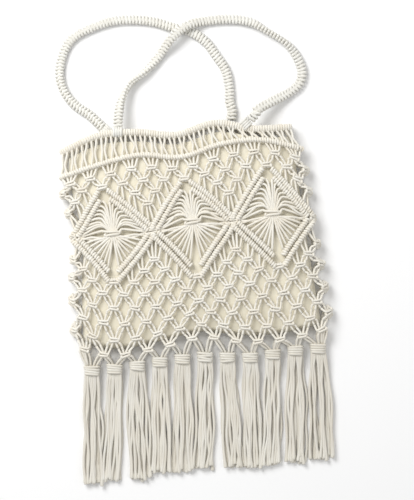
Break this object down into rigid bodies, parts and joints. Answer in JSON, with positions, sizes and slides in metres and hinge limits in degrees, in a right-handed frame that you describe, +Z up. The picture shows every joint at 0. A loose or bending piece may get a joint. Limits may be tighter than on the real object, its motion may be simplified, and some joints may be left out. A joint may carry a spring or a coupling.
{
  "type": "macrame bag",
  "caption": "Flat-lying knotted cotton bag with pierced net walls, a cloth lining, two looped sennit handles and a row of gathered tassels.",
  "frame": {"origin": "on the surface that the bag lies on, under the middle of its bounding box", "axes": "+X to the right as the bag is seen from above, +Y from the fringe towards the handles, +Z up, out of the front wall"},
  "size_m": [0.3373, 0.5676, 0.0311],
  "materials": {
    "knotted_cord": "twisted natural cotton cord, matte",
    "handle_cord": "twisted natural cotton cord, matte",
    "fringe_cord": "twisted natural cotton cord, matte",
    "lining_cloth": "plain woven cotton, matte"
  },
  "bodies": {
    "root": {"front_net": "knotted_cord", "back_net": "knotted_cord", "front_mouth_band": "knotted_cord", "back_mouth_band": "knotted_cord", "front_handle": "handle_cord", "back_handle": "handle_cord", "lining": "lining_cloth", "tassel_01": "fringe_cord", "tassel_02": "fringe_cord", "tassel_03": "fringe_cord", "tassel_04": "fringe_cord", "tassel_05": "fringe_cord", "tassel_06": "fringe_cord", "tassel_07": "fringe_cord", "tassel_08": "fringe_cord", "tassel_09": "fringe_cord", "tassel_10": "fringe_cord", "tassel_11": "fringe_cord"}
  },
  "joints": []
}
